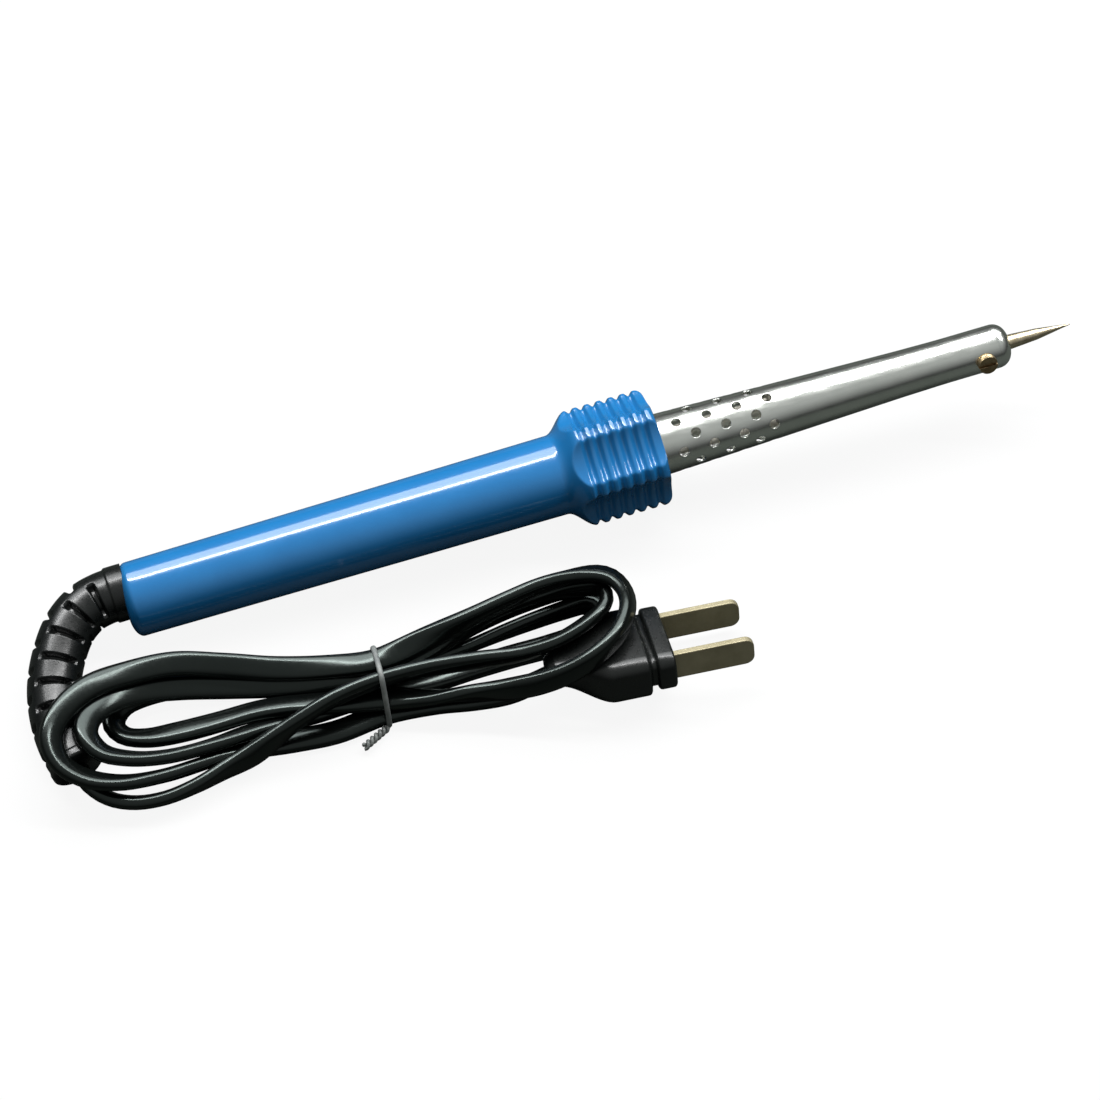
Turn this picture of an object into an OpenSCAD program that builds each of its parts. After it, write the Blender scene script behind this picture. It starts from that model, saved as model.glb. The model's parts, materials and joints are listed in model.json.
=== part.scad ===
// Mains pencil soldering iron with a hanked two-core cord and a two-pin plug.
// Millimetres, +Z up. The iron lies along X with its bit towards +X.
// The origin is on the surface it lies on, under the middle of the iron.

/* [Handle] */
// Length of the handle, from its back end to the collar's front face
handle_len = 117.2; // [110:0.1:125]
// Radius of the grip at its back end
grip_back_r = 8.0; // [7.6:0.1:8.4]
// Radius of the grip where the cone starts
grip_front_r = 8.7; // [8.4:0.1:9.2]
// Station where the cone starts
cone_at = 94.8; // [92:0.1:96]
// Station where the collar reaches its full radius
collar_at = 100.6; // [99:0.1:102]
// Radius of the collar over its lands
collar_r = 12.7; // [12.2:0.1:13.4]
// Fillet on the collar's front edge
collar_fillet = 1.6; // [1:0.1:2]

/* [Finger scoops] */
// Number of scoops and of lands between them
scoops = 6; // [6]
// Radius of the hollow of a scoop
scoop_r = 12; // [11:0.5:14]
// Depth of a scoop in its middle
scoop_depth = 2.1; // [1.6:0.1:2.2]
// Ribs' grooves in each scoop
grooves = 6; // [3:1:6]
// Distance from groove to groove
groove_pitch = 2.65; // [2.4:0.01:2.8]
// Station of the first groove
groove_at = 101.2; // [100.8:0.1:101.6]
// Radius of the round bottom of a groove
groove_r = 0.65; // [0.4:0.05:0.8]

/* [Barrel] */
// Station of the barrel's back end, inside the collar
barrel_back = 106; // [104:0.5:108]
// Radius of the barrel at the collar
barrel_back_r = 6.75; // [6.6:0.05:6.8]
// Station where the barrel's taper eases
barrel_ease_at = 172; // [165:1:178]
// Radius of the barrel there
barrel_ease_r = 5.05; // [4.95:0.05:5.2]
// Station where the barrel runs parallel to its nose
barrel_front_at = 182; // [180:1:184]
// Radius of the barrel near its nose
barrel_front_r = 4.85; // [4.8:0.05:4.9]
// Station of the open end of the nose
nose_at = 197.4; // [196.5:0.1:198]
// Radius of the nose's rounded shoulder
nose_round = 2.9; // [2.5:0.1:2.9]
// Thickness of the tube's wall
barrel_wall = 0.5; // [0.4:0.05:0.5]
// Radius of a vent hole
vent_r = 1.08; // [0.9:0.02:1.2]
// Rows of vent holes round the barrel
vent_rows = 12; // [12]
// Distance from hole to hole in a row
vent_pitch = 6.8; // [6.4:0.1:7]
// Station of the first vent hole
vent_at = 121.9; // [121.5:0.1:123]

/* [Bit] */
// Station of the bit's point
point_at = 212; // [208:0.5:216]
// Radius of the bit's shank
shank_r = 1.7; // [1.6:0.05:1.75]
// Station of the shank's back end
shank_back = 149.4; // [149.3:0.1:152]
// Station where the plated point starts
plate_at = 204.6; // [203:0.1:206]
// Radius of the bit there
plate_r = 1.2; // [1:0.05:1.3]

/* [Set screw] */
// Station of the screw that clamps the bit
set_screw_at = 190.8; // [190:0.1:191.5]
// Angle of the screw from straight up, towards -Y
set_screw_turn = 68; // [60:1:75]
// Radius of its head
set_screw_head_r = 2.1; // [1.8:0.1:2.2]
// Radius of its thread
set_screw_r = 1.25; // [1.2:0.05:1.4]

/* [Cord and plug] */
// Width of the flat two-core cord
cord_w = 5.2; // [4.9:0.1:5.6]
// Thickness of the flat two-core cord
cord_t = 3; // [2.9:0.1:3.2]
// Radius of the strain relief at the handle
relief_r = 5.65; // [5.4:0.05:5.7]
// Radius of the strain relief at its free end
relief_end_r = 5.1; // [4.8:0.1:5.2]
// Width of the plug's body
plug_w = 21; // [19:0.5:22]
// Thickness of the plug's body
plug_t = 10; // [9.5:0.5:11]
// Length of the plug's body
plug_len = 24; // [23:0.5:26]
// Roll of the plug, its near side lifted by the cord under its tail
plug_roll = 19; // [17:1:21]

/* [Hidden] */
$fn = 64;
eps = 0.01;

// The iron rests on one land of its collar and on the edge of its back end.
back_round_x = 2.2;
back_round_y = 4.2;
tilt = atan((collar_r - grip_back_r) / (collar_at - back_round_x));
back_z = grip_back_r * cos(tilt) - back_round_x * sin(tilt);
back_x = -point_at * cos(tilt) / 2;

// Inside of the handle
cavity_r = 6.2;
cavity_from = 4;
cavity_to = barrel_back;
ledge_z = -3;
socket_r = barrel_back_r + 0.05;
recess_r = 10.2;
flange_t = 1;
washer_t = 0.6;
flange_r = 10;
flange_screw_pcr = 8.4;
flange_screw_r = 0.9;
flange_screw_head_r = 1.3;
flange_screw_head_t = 0.6;
flange_screw_len = 8;

// Nose and heating element
nose_bore_r = shank_r + 0.05;
bush_from = 184;
bush_step = 188;
bush_to = nose_at - nose_round - 0.1;
former_in_r = 1.95;
former_out_r = 2.3;
former_from = 150;
mica_t = 0.15;
element_from = 154;
element_to = 184;
wire_r = 0.2;
winding_in_r = former_out_r + mica_t;
winding_out_r = winding_in_r + 2 * wire_r;
spacer_from = 144;
spacer_to = 149;
spacer_r = 5.2;

// Wiring inside the handle
lead_y = 2.6;
lead_r = 0.25;
bead_r = 1;
bead_len = 3.5;
bead_pitch = 3.7;
bead_from = 88;
bead_count = 15;
block_from = 70;
block_len = 14;
block_w = 10;
block_h = 6;
tube_r = 1.6;
tube_bore_r = 1;
tube_over = 1;
grub_r = 0.8;
grub_inset = 3.5;
core_r = 0.95;
jacket_end = 30;
clamp_from = 20;
clamp_len = 7;
clamp_top = 3;
clamp_screw_y = 3.9;
clamp_screw_r = 0.6;
clamp_screw_head_r = 1;

// Strain relief: an eccentric neck in a shallow pocket of the handle's back end
neck_y = 1.8;
neck_z = 1.2;
pocket_depth = 1.4;
hole_r = 3.4;
inner_flange_r = 5;
inner_flange_t = 2;
// Centre line of the strain relief from the handle to where the cord leaves it
relief_route = [
    [-107, 1.8, 8.9], [-109.5, 1.8, 8.8], [-113, 1.4, 8.5], [-117.5, -0.8, 7.8], [-121.5, -6, 6.8],
    [-124, -14, 6], [-125, -23, 5.4], [-125.5, -33, 5.3]
];

// Hank of cord, a long figure with two loops and a tied waist
left_loop = [-113, -31.5];
left_loop_r = 17;
left_loop_h = 17;
right_loop = [-22, -36.5];
right_loop_r = 14;
right_loop_h = 19;
waist = [-60, -34.7];
waist_w = 13.4;
waist_len = 30;
waist_h = 10.8;
tie_x = -61;
tie_w = 1.2;
tie_t = 0.8;

// Plug, in its own frame: front face at x = 0, blades towards +X
plug_at = [-1, -44.4];
plug_turn = -4.5;
plug_corner = 3;
face_w = plug_w - 1;
face_t = plug_t - 1;
plug_z = (face_t / 2 - plug_corner) * cos(plug_roll) + (face_w / 2 - plug_corner) * sin(plug_roll)
    + plug_corner + 0.3;
blade_len = 17;
blade_w = 6.35;
blade_t = 1.5;
blade_gap = 12.7;
blade_root = 7;
blade_corner = 2;
flange_len = 4;
groove_len = 1.4;
groove_in = 1;
bridge_len = 5;
bridge_at = -11;
bridge_w = 16;
bridge_t = 7;

// --- Helpers ---

// Puts a shape that is drawn along the iron's axis into its resting place
module on_iron() {
    translate([back_x, 0, back_z]) rotate([0, -tilt, 0]) children();
}

// The point at a station of the iron's axis, moved across it by y and upwards by z
function at_station(s, y = 0, z = 0) =
    [back_x + s * cos(tilt) - z * sin(tilt), y, back_z + s * sin(tilt) + z * cos(tilt)];

// Turns an outline of [station, radius] points about the iron's axis
module turned(outline) {
    rotate([0, 90, 0]) rotate_extrude() polygon([for (p = outline) [p[1], p[0]]]);
}

// A rod along the iron's axis
module rod(from, to, r, y = 0, z = 0) {
    translate([from, y, z]) rotate([0, 90, 0]) cylinder(r = r, h = to - from);
}

// A tube along the iron's axis
module sleeve(from, to, r_out, r_in) {
    turned([[from, r_in], [to, r_in], [to, r_out], [from, r_out]]);
}

// Points of an elliptical quarter from angle a0 to a1, as [station, radius]
function quarter(x, y, rx, ry, a0, a1, n = 8) =
    [for (i = [0:n]) [x + rx * cos(a0 + (a1 - a0) * i / n), y + ry * sin(a0 + (a1 - a0) * i / n)]];

// A smooth curve through hand-placed points (Catmull-Rom)
function spline_point(p, i, t) =
    let (a = p[max(i - 1, 0)], b = p[i], c = p[i + 1], d = p[min(i + 2, len(p) - 1)])
    0.5 * (2 * b + (c - a) * t + (2 * a - 5 * b + 4 * c - d) * t * t
    + (3 * b - a - 3 * c + d) * t * t * t);
function spline(p, steps) = concat(
    [for (i = [0:len(p) - 2], k = [0:steps - 1]) spline_point(p, i, k / steps)],
    [p[len(p) - 1]]);
function unit(v) = v / norm(v);
function tangent(c, i) = unit(c[min(i + 1, len(c) - 1)] - c[max(i - 1, 0)]);

// A closed round body through rings of [centre, direction, radius]
module ringed(rings, sides) {
    n = len(rings);
    points = [for (ring = rings)
        let (u = unit(cross([0, 0, 1], ring[1])), v = cross(ring[1], u))
        for (k = [0:sides - 1]) ring[0] + ring[2] * (cos(360 * k / sides) * u + sin(360 * k / sides) * v)];
    walls = [for (i = [0:n - 2], k = [0:sides - 1])
        let (a = i * sides + k, b = i * sides + (k + 1) % sides) [a, a + sides, b + sides, b]];
    polyhedron(points, concat([[for (k = [0:sides - 1]) k]], walls,
        [[for (k = [0:sides - 1]) n * sides - 1 - k]]), convexity = 6);
}

// Rings along curve c, their radius running from r0 to r1
function curve_rings(c, r0, r1) =
    [for (i = [0:len(c) - 1]) [c[i], tangent(c, i), r0 + (r1 - r0) * i / (len(c) - 1)]];

// A flat cord's cross-section
module flat_section() {
    half = (cord_w - cord_t) / 2;
    union() {
        square([2 * half, cord_t], center = true);
        for (side = [-1, 1]) translate([side * half, 0]) circle(d = cord_t);
    }
}

// --- Handle and barrel ---

// Outside of the moulding, before the scoops are cut
function handle_outline() = concat(
    [[0, 0]],
    quarter(back_round_x, grip_back_r - back_round_y, -back_round_x, back_round_y, 0, 90),
    [[cone_at, grip_front_r]],
    [for (i = [1:6]) let (t = i / 6) [cone_at + (collar_at - cone_at) * t,
        grip_front_r + (collar_r - grip_front_r) * (1 - cos(180 * t)) / 2]],
    quarter(handle_len - collar_fillet, collar_r - collar_fillet, collar_fillet, collar_fillet, 90, 0),
    [[handle_len, 0]]);

// One scoop, pointing up: a long hollow with round grooves across it
module scoop_cut() {
    bottom = collar_r - scoop_depth;
    rod(cone_at - 6, handle_len + 1, scoop_r, 0, bottom + scoop_r);
    for (i = [0:grooves - 1])
        translate([groove_at + i * groove_pitch, 0, bottom + 0.1])
            rotate([90, 0, 0]) cylinder(r = groove_r, h = 15, center = true, $fn = 24);
}

module cavity() {
    difference() {
        rod(cavity_from, cavity_to, cavity_r);
        // Ledge under the terminal block
        translate([block_from, -cavity_r, -2 * cavity_r + ledge_z])
            cube([block_len, 2 * cavity_r, 2 * cavity_r]);
        // Saddle under the cord clamp
        translate([clamp_from, -cavity_r, -2 * cavity_r - cord_t / 2])
            cube([clamp_len, 2 * cavity_r, 2 * cavity_r]);
    }
}

module clamp_screw_shafts(r) {
    for (side = [-1, 1])
        translate([clamp_from + clamp_len / 2, side * clamp_screw_y, -4.4])
            cylinder(r = r, h = clamp_top + 4.4, $fn = 24);
}

module flange_screw_shafts(r) {
    for (turn = [0:120:240]) rotate([turn, 0, 0])
        rod(handle_len - flange_screw_len, handle_len, r, 0, flange_screw_pcr, $fn = 24);
}

// Flat heads in counterbores, flush with the flange; over lengthens them for the cut
module flange_screw_heads(over) {
    for (turn = [0:120:240]) rotate([turn, 0, 0])
        rod(handle_len - flange_screw_head_t, handle_len + over, flange_screw_head_r, 0,
            flange_screw_pcr, $fn = 32);
}

// One moulding: grip, cone and collar
module handle() {
    color("dodgerblue") on_iron() difference() {
        turned(handle_outline());
        for (i = [0:scoops - 1]) rotate([30 + i * 360 / scoops, 0, 0]) scoop_cut();
        cavity();
        rod(cavity_to - eps, handle_len + 1, socket_r);
        rod(handle_len - flange_t - washer_t, handle_len + 1, recess_r);
        rod(-1, pocket_depth, relief_r, neck_y, neck_z);
        rod(pocket_depth - eps, cavity_from + eps, hole_r);
        clamp_screw_shafts(clamp_screw_r);
        flange_screw_shafts(flange_screw_r);
    }
}

// Outside of the barrel from its back end to the mouth of its nose
function barrel_outline() = concat(
    [[barrel_back, barrel_back_r], [handle_len, barrel_back_r],
    [barrel_ease_at, barrel_ease_r], [barrel_front_at, barrel_front_r]],
    quarter(nose_at - nose_round, barrel_front_r - nose_round, nose_round, nose_round, 90, 0));

function barrel_inside() = concat(
    [[nose_at, nose_bore_r + 0.02], [nose_at - barrel_wall, nose_bore_r + 0.02]],
    quarter(nose_at - nose_round, barrel_front_r - nose_round, nose_round - barrel_wall,
        nose_round - barrel_wall, 0, 90),
    [[barrel_front_at, barrel_front_r - barrel_wall], [barrel_ease_at, barrel_ease_r - barrel_wall],
    [handle_len, barrel_back_r - barrel_wall], [barrel_back, barrel_back_r - barrel_wall]]);

// Rows of four holes and of three holes take turns round the tube
module vents() {
    for (row = [0:vent_rows / 2 - 1]) rotate([row * 360 / vent_rows, 0, 0])
        for (i = [0:3 - (row + 1) % 2])
            translate([vent_at + (i + ((row + 1) % 2) / 2) * vent_pitch, 0, 0])
                cylinder(r = vent_r, h = 20, center = true, $fn = 24);
}

module barrel() {
    color("silver") on_iron() difference() {
        turned(concat(barrel_outline(), barrel_inside()));
        vents();
        rotate([set_screw_turn, 0, 0]) translate([set_screw_at, 0, 3])
            cylinder(r = set_screw_r + 0.2, h = 5, $fn = 32);
    }
}

module barrel_flange() {
    color("lightgray") on_iron() difference() {
        sleeve(handle_len - flange_t, handle_len, flange_r, barrel_back_r);
        flange_screw_shafts(flange_screw_r);
        flange_screw_heads(1);
    }
}

module insulating_washer() {
    color("saddlebrown") on_iron() difference() {
        sleeve(handle_len - flange_t - washer_t, handle_len - flange_t, flange_r, barrel_back_r);
        flange_screw_shafts(flange_screw_r);
    }
}

module flange_screws() {
    color("gainsboro") on_iron() difference() {
        union() {
            flange_screw_shafts(flange_screw_r);
            flange_screw_heads(0);
        }
        for (turn = [0:120:240]) rotate([turn, 0, 0])
            translate([handle_len - 0.3, -2, flange_screw_pcr - 0.2]) cube([1, 4, 0.4]);
    }
}

module nose_bush() {
    color("darkgray") on_iron() difference() {
        turned([[bush_from, former_out_r], [bush_step, former_out_r], [bush_step, nose_bore_r],
            [bush_to, nose_bore_r], [bush_to, barrel_front_r - barrel_wall],
            [bush_from, barrel_front_r - barrel_wall]]);
        rotate([set_screw_turn, 0, 0]) translate([set_screw_at, 0, 0])
            cylinder(r = set_screw_r + 0.05, h = 8, $fn = 32);
    }
}

// --- Moving parts ---

module soldering_bit() {
    color("darkkhaki") on_iron() turned([[shank_back, 0], [shank_back, shank_r - 0.2],
        [shank_back + 0.4, shank_r], [nose_at + 0.6, shank_r], [nose_at + 1.2, shank_r - 0.12],
        [plate_at, plate_r], [point_at - 0.4, 0.2], [point_at - 0.1, 0.12], [point_at, 0]]);
}

module set_screw() {
    head_from = barrel_front_r + 0.1;
    color("peru") on_iron() rotate([set_screw_turn, 0, 0]) translate([set_screw_at, 0, 0])
        difference() {
            union() {
                translate([0, 0, shank_r + 0.1])
                    cylinder(r = set_screw_r, h = head_from - shank_r, $fn = 32);
                translate([0, 0, head_from]) cylinder(r = set_screw_head_r, h = 1.4, $fn = 48);
            }
            translate([-3, -0.3, head_from + 0.7]) cube([6, 0.6, 2]);
        }
}

// --- Heating element ---

module former_tube() {
    color("gray") on_iron() sleeve(former_from, bush_step, former_out_r, former_in_r);
}

module inner_mica() {
    color("burlywood") on_iron() sleeve(element_from, element_to, winding_in_r, former_out_r);
}

// Resistance wire, wound turn against turn, as one ribbed sleeve
module heater_winding() {
    turns = floor((element_to - element_from - 2) / (2 * wire_r) / 3);
    pitch = (element_to - element_from - 2) / turns;
    color("dimgray") on_iron() turned(concat(
        [[element_from, winding_in_r], [element_from, winding_out_r]],
        [for (i = [0:turns - 1], k = [0:1]) [element_from + 1 + (i + 0.25 + k / 2) * pitch,
            winding_out_r - (k == 0 ? wire_r : 0)]],
        [[element_to, winding_out_r], [element_to, winding_in_r]]));
}

module outer_mica() {
    color("burlywood") on_iron()
        sleeve(element_from, element_to, winding_out_r + mica_t, winding_out_r);
}

module ceramic_spacer() {
    color("ivory") on_iron() difference() {
        rod(spacer_from, spacer_to, spacer_r);
        for (side = [-1, 1]) rod(spacer_from - 1, spacer_to + 1, lead_r, side * lead_y, $fn = 24);
    }
}

module heater_leads() {
    color("slategray") on_iron() for (side = [-1, 1])
        rod(block_from + block_len - 3, element_from, lead_r, side * lead_y, $fn = 24);
}

module lead_beads() {
    color("white") on_iron() for (side = [-1, 1], i = [0:bead_count - 1])
        translate([bead_from + i * bead_pitch, side * lead_y, 0])
            sleeve(0, bead_len, bead_r, lead_r, $fn = 32);
}

// --- Wiring in the handle ---

module grubs(r) {
    for (side = [-1, 1], x = [grub_inset, block_len - grub_inset])
        translate([block_from + x, side * lead_y, tube_bore_r]) cylinder(r = r, h = 3, $fn = 24);
}

module terminal_block() {
    color("whitesmoke") on_iron() difference() {
        translate([block_from, -block_w / 2, -block_h / 2]) cube([block_len, block_w, block_h]);
        for (side = [-1, 1]) rod(block_from - 1, block_from + block_len + 1, tube_r, side * lead_y);
        grubs(grub_r);
    }
}

module terminal_tubes() {
    color("gold") on_iron() difference() {
        for (side = [-1, 1])
            rod(block_from + tube_over, block_from + block_len - tube_over, tube_r, side * lead_y);
        for (side = [-1, 1]) rod(block_from - 1, block_from + block_len + 1, tube_bore_r, side * lead_y);
        grubs(grub_r);
    }
}

module terminal_screws() {
    color("silver") on_iron() difference() {
        grubs(grub_r);
        for (side = [-1, 1], x = [grub_inset, block_len - grub_inset])
            translate([block_from + x - 2, side * lead_y - 0.15, 3.4]) cube([4, 0.3, 2]);
    }
}

// Insulated conductor from the end of the cord's jacket to its terminal
module core(side) {
    on_iron() ringed(curve_rings(spline([[jacket_end, side * 1.3, 0], [jacket_end + 6, side * 1.4, 0],
        [(jacket_end + block_from) / 2, side * 2.1, 0], [block_from - 6, side * 2.6, 0],
        [block_from + 4, side * lead_y, 0]], 3), core_r, core_r), 8);
}

module live_core() {
    color("saddlebrown") core(-1);
}

module neutral_core() {
    color("royalblue") core(1);
}

module cord_inner_end() {
    color("black") on_iron() translate([cavity_from + inner_flange_t, 0, 0])
        rotate([90, 0, 90]) linear_extrude(jacket_end - cavity_from - inner_flange_t) flat_section();
}

module cord_clamp() {
    half_w = 5;
    color("dimgray") on_iron() difference() {
        translate([clamp_from, -half_w, cord_t / 2])
            cube([clamp_len, 2 * half_w, clamp_top - cord_t / 2]);
        clamp_screw_shafts(clamp_screw_r);
    }
}

module clamp_screws() {
    color("silver") on_iron() {
        clamp_screw_shafts(clamp_screw_r);
        for (side = [-1, 1])
            translate([clamp_from + clamp_len / 2, side * clamp_screw_y, clamp_top])
                cylinder(r = clamp_screw_head_r, h = 0.6, $fn = 32);
    }
}

// --- Strain relief, cord and plug ---

// Inner flange, neck through the back wall, seat in the pocket, then the bent sleeve
module strain_relief() {
    axis = [-cos(tilt), 0, -sin(tilt)];
    flange_to = cavity_from + inner_flange_t;
    seat_r = relief_r - 0.05;
    inner = [
        [at_station(flange_to), axis, inner_flange_r],
        [at_station(cavity_from), axis, inner_flange_r],
        [at_station(cavity_from), axis, hole_r - 0.05],
        [at_station(pocket_depth), axis, hole_r - 0.05],
        [at_station(pocket_depth, neck_y, neck_z), axis, seat_r],
        [at_station(0, neck_y, neck_z), axis, seat_r]
    ];
    color("#202020")
        ringed(concat(inner, curve_rings(spline(relief_route, 3), seat_r, relief_end_r)), 24);
}

// Tapered stretch between a loop and the waist
module neck(loop, r) {
    side = loop[0] < waist[0] ? -1 : 1;
    polygon([[loop[0], loop[1] - r], [loop[0], loop[1] + r],
        [waist[0] + side * waist_len / 2, waist[1] + waist_w / 2],
        [waist[0] + side * waist_len / 2, waist[1] - waist_w / 2]]);
}

module cord_hank() {
    color("#181818") difference() {
        union() {
            linear_extrude(left_loop_h) union() {
                translate(left_loop) circle(r = left_loop_r);
                neck(left_loop, left_loop_r);
            }
            linear_extrude(right_loop_h) union() {
                translate(right_loop) circle(r = right_loop_r);
                neck(right_loop, right_loop_r);
            }
            translate([waist[0] - waist_len / 2 - 1, waist[1] - waist_w / 2, 0])
                cube([waist_len + 2, waist_w, waist_h]);
        }
        tie_band();
        at_plug() plug_shape();
    }
}

module tie_band() {
    difference() {
        translate([tie_x, waist[1] - waist_w / 2 - tie_t, 0])
            cube([tie_w, waist_w + 2 * tie_t, waist_h + tie_t]);
        translate([tie_x - 1, waist[1] - waist_w / 2, tie_t])
            cube([tie_w + 2, waist_w, waist_h - tie_t]);
    }
}

module cord_tie() {
    color("lightslategray") tie_band();
}

// Puts the plug, drawn with its front face at x = 0, where it lies
module at_plug() {
    translate([plug_at[0], plug_at[1], plug_z]) rotate([0, 0, plug_turn])
        rotate([-plug_roll, 0, 0]) children();
}

// A rounded block across the plug, from x0 to x1
module plug_block(x0, x1, w, t, corner) {
    translate([x0, 0, 0]) rotate([90, 0, 90]) linear_extrude(x1 - x0) hull()
        for (y = [-1, 1], z = [-1, 1])
            translate([y * (w / 2 - corner), z * (t / 2 - corner)]) circle(r = corner, $fn = 24);
}

module blade_outline(from) {
    hull() {
        translate([from, -blade_w / 2]) square([1, blade_w]);
        for (side = [-1, 1]) translate([blade_len - blade_corner, side * (blade_w / 2 - blade_corner)])
            circle(r = blade_corner, $fn = 24);
    }
}

module plug_blades() {
    color("darkkhaki") at_plug() for (side = [-1, 1])
        translate([0, side * blade_gap / 2 + blade_t / 2, 0]) rotate([90, 0, 0])
            linear_extrude(blade_t) blade_outline(-blade_root - bridge_len);
}

module plug_bridge() {
    color("dimgray") at_plug() difference() {
        translate([bridge_at, -bridge_w / 2, -bridge_t / 2]) cube([bridge_len, bridge_w, bridge_t]);
        for (side = [-1, 1]) translate([bridge_at - 1, side * blade_gap / 2 - blade_t / 2, -blade_w / 2])
            cube([bridge_len + 2, blade_t, blade_w]);
    }
}

// Outside of the moulding: face plate, groove and a body that tapers to the cord
module plug_shape() {
    plug_block(-flange_len, 0, face_w, face_t, plug_corner);
    plug_block(-flange_len - groove_len - eps, -flange_len + eps, face_w - 2 * groove_in,
        face_t - 2 * groove_in, plug_corner - groove_in);
    hull() {
        plug_block(-14, -flange_len - groove_len, plug_w, plug_t, plug_corner);
        plug_block(-plug_len, -plug_len + 1, 8, 6, 2.5);
    }
}

module plug_body() {
    color("#1c1c1c") at_plug() difference() {
        plug_shape();
        translate([bridge_at, -bridge_w / 2, -bridge_t / 2]) cube([bridge_len, bridge_w, bridge_t]);
        for (side = [-1, 1])
            translate([-blade_root - bridge_len, side * blade_gap / 2 - blade_t / 2, -blade_w / 2])
                cube([blade_root + bridge_len + 1, blade_t, blade_w]);
    }
}

handle();
barrel();
barrel_flange();
insulating_washer();
flange_screws();
nose_bush();
soldering_bit();
set_screw();
former_tube();
inner_mica();
heater_winding();
outer_mica();
ceramic_spacer();
heater_leads();
lead_beads();
terminal_block();
terminal_tubes();
terminal_screws();
live_core();
neutral_core();
cord_inner_end();
cord_clamp();
clamp_screws();
strain_relief();
cord_hank();
cord_tie();
plug_body();
plug_bridge();
plug_blades();
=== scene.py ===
import json
import math

import bmesh
import bpy
import numpy as np
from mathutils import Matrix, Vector


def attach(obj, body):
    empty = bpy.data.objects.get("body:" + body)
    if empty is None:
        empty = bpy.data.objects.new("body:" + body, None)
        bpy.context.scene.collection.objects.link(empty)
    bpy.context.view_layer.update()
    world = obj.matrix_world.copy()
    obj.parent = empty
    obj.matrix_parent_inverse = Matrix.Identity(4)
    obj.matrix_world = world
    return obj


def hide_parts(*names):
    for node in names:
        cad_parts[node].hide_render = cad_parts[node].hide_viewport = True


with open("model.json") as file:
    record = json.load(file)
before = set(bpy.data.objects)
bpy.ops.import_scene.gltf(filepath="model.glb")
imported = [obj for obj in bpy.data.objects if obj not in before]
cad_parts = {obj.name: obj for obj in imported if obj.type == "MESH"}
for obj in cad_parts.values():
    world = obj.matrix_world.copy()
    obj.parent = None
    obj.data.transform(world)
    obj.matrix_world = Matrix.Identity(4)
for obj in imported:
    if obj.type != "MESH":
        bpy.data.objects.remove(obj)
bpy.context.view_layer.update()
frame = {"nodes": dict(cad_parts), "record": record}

MM = 0.001

# --- The iron's own frame: stations along its axis, as in the CAD model ---

JOINTS = {joint["name"]: joint for joint in frame["record"]["behaviour"]["joints"]}
AXIS = np.array(JOINTS["bit_slide"]["axis"])
AXIS = AXIS / np.linalg.norm(AXIS)
SIDE = np.array([0.0, 1.0, 0.0])
UP = np.cross(AXIS, SIDE)
SET_SCREW_STATION = 190.8
BACK = np.array(JOINTS["set_screw_turn"]["pos_m"]) - SET_SCREW_STATION * MM * AXIS


def on_axis(station, across=0.0, up=0.0):
    """The point at a station of the iron's axis, in mm, moved across it and upwards."""
    return BACK + MM * (station * AXIS + across * SIDE + up * UP)


def radial(angle):
    """The direction at an angle round the iron, from straight up towards -Y."""
    return math.cos(angle) * UP - math.sin(angle) * SIDE


# --- Mesh helpers ---

def unit(v):
    return v / np.linalg.norm(v, axis=-1, keepdims=True)


def smooth_step(edge0, edge1, x):
    t = np.clip((x - edge0) / (edge1 - edge0), 0.0, 1.0)
    return t * t * (3.0 - 2.0 * t)


def add_piece(name, points, faces, material, body="iron", replaces=(), slot=None):
    """A smooth-shaded mesh object that rides on a body of the frame."""
    mesh = bpy.data.meshes.new(name)
    mesh.from_pydata([tuple(p) for p in points], [], faces)
    mesh.validate()
    clean = bmesh.new()
    clean.from_mesh(mesh)
    bmesh.ops.recalc_face_normals(clean, faces=clean.faces)
    clean.to_mesh(mesh)
    clean.free()
    mesh.shade_smooth()
    piece = bpy.data.objects.new(name, mesh)
    bpy.context.scene.collection.objects.link(piece)
    mesh.materials.append(material)
    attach(piece, body)
    if replaces:
        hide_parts(*replaces)
    return piece


def ring_faces(ring_count, around, closed=False, caps=True):
    """Quads between rings of points, with an n-gon on each end."""
    faces = []
    last = ring_count if closed else ring_count - 1
    for i in range(last):
        a = i * around
        b = ((i + 1) % ring_count) * around
        for j in range(around):
            k = (j + 1) % around
            faces.append((a + j, a + k, b + k, b + j))
    if caps and not closed:
        faces.append(tuple(range(around)))
        faces.append(tuple(range((ring_count - 1) * around, ring_count * around)))
    return faces


def rings_piece(name, rings, material, closed=False, caps=True, **how):
    rings = np.asarray(rings)
    faces = ring_faces(rings.shape[0], rings.shape[1], closed, caps)
    return add_piece(name, rings.reshape(-1, 3), faces, material, **how)


def sharpen(piece, degrees):
    """Keeps edges sharper than an angle as hard edges in the smooth shading."""
    bpy.context.view_layer.objects.active = piece
    piece.select_set(True)
    bpy.ops.object.shade_smooth_by_angle(angle=math.radians(degrees))
    piece.select_set(False)


def turned_rings(outline, around):
    """Rings round the iron's axis through [station, radius] points in mm."""
    angles = np.linspace(0.0, 2.0 * math.pi, around, endpoint=False)
    spokes = np.array([radial(a) for a in angles])
    return np.array([on_axis(s) + MM * r * spokes for s, r in outline])


def arc(x, y, rx, ry, a0, a1, count):
    """Points of an elliptical arc, with its angles in degrees."""
    angles = np.radians(np.linspace(a0, a1, count))
    return [(x + rx * math.cos(a), y + ry * math.sin(a)) for a in angles]


SPLINE_STEPS = 24


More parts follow.
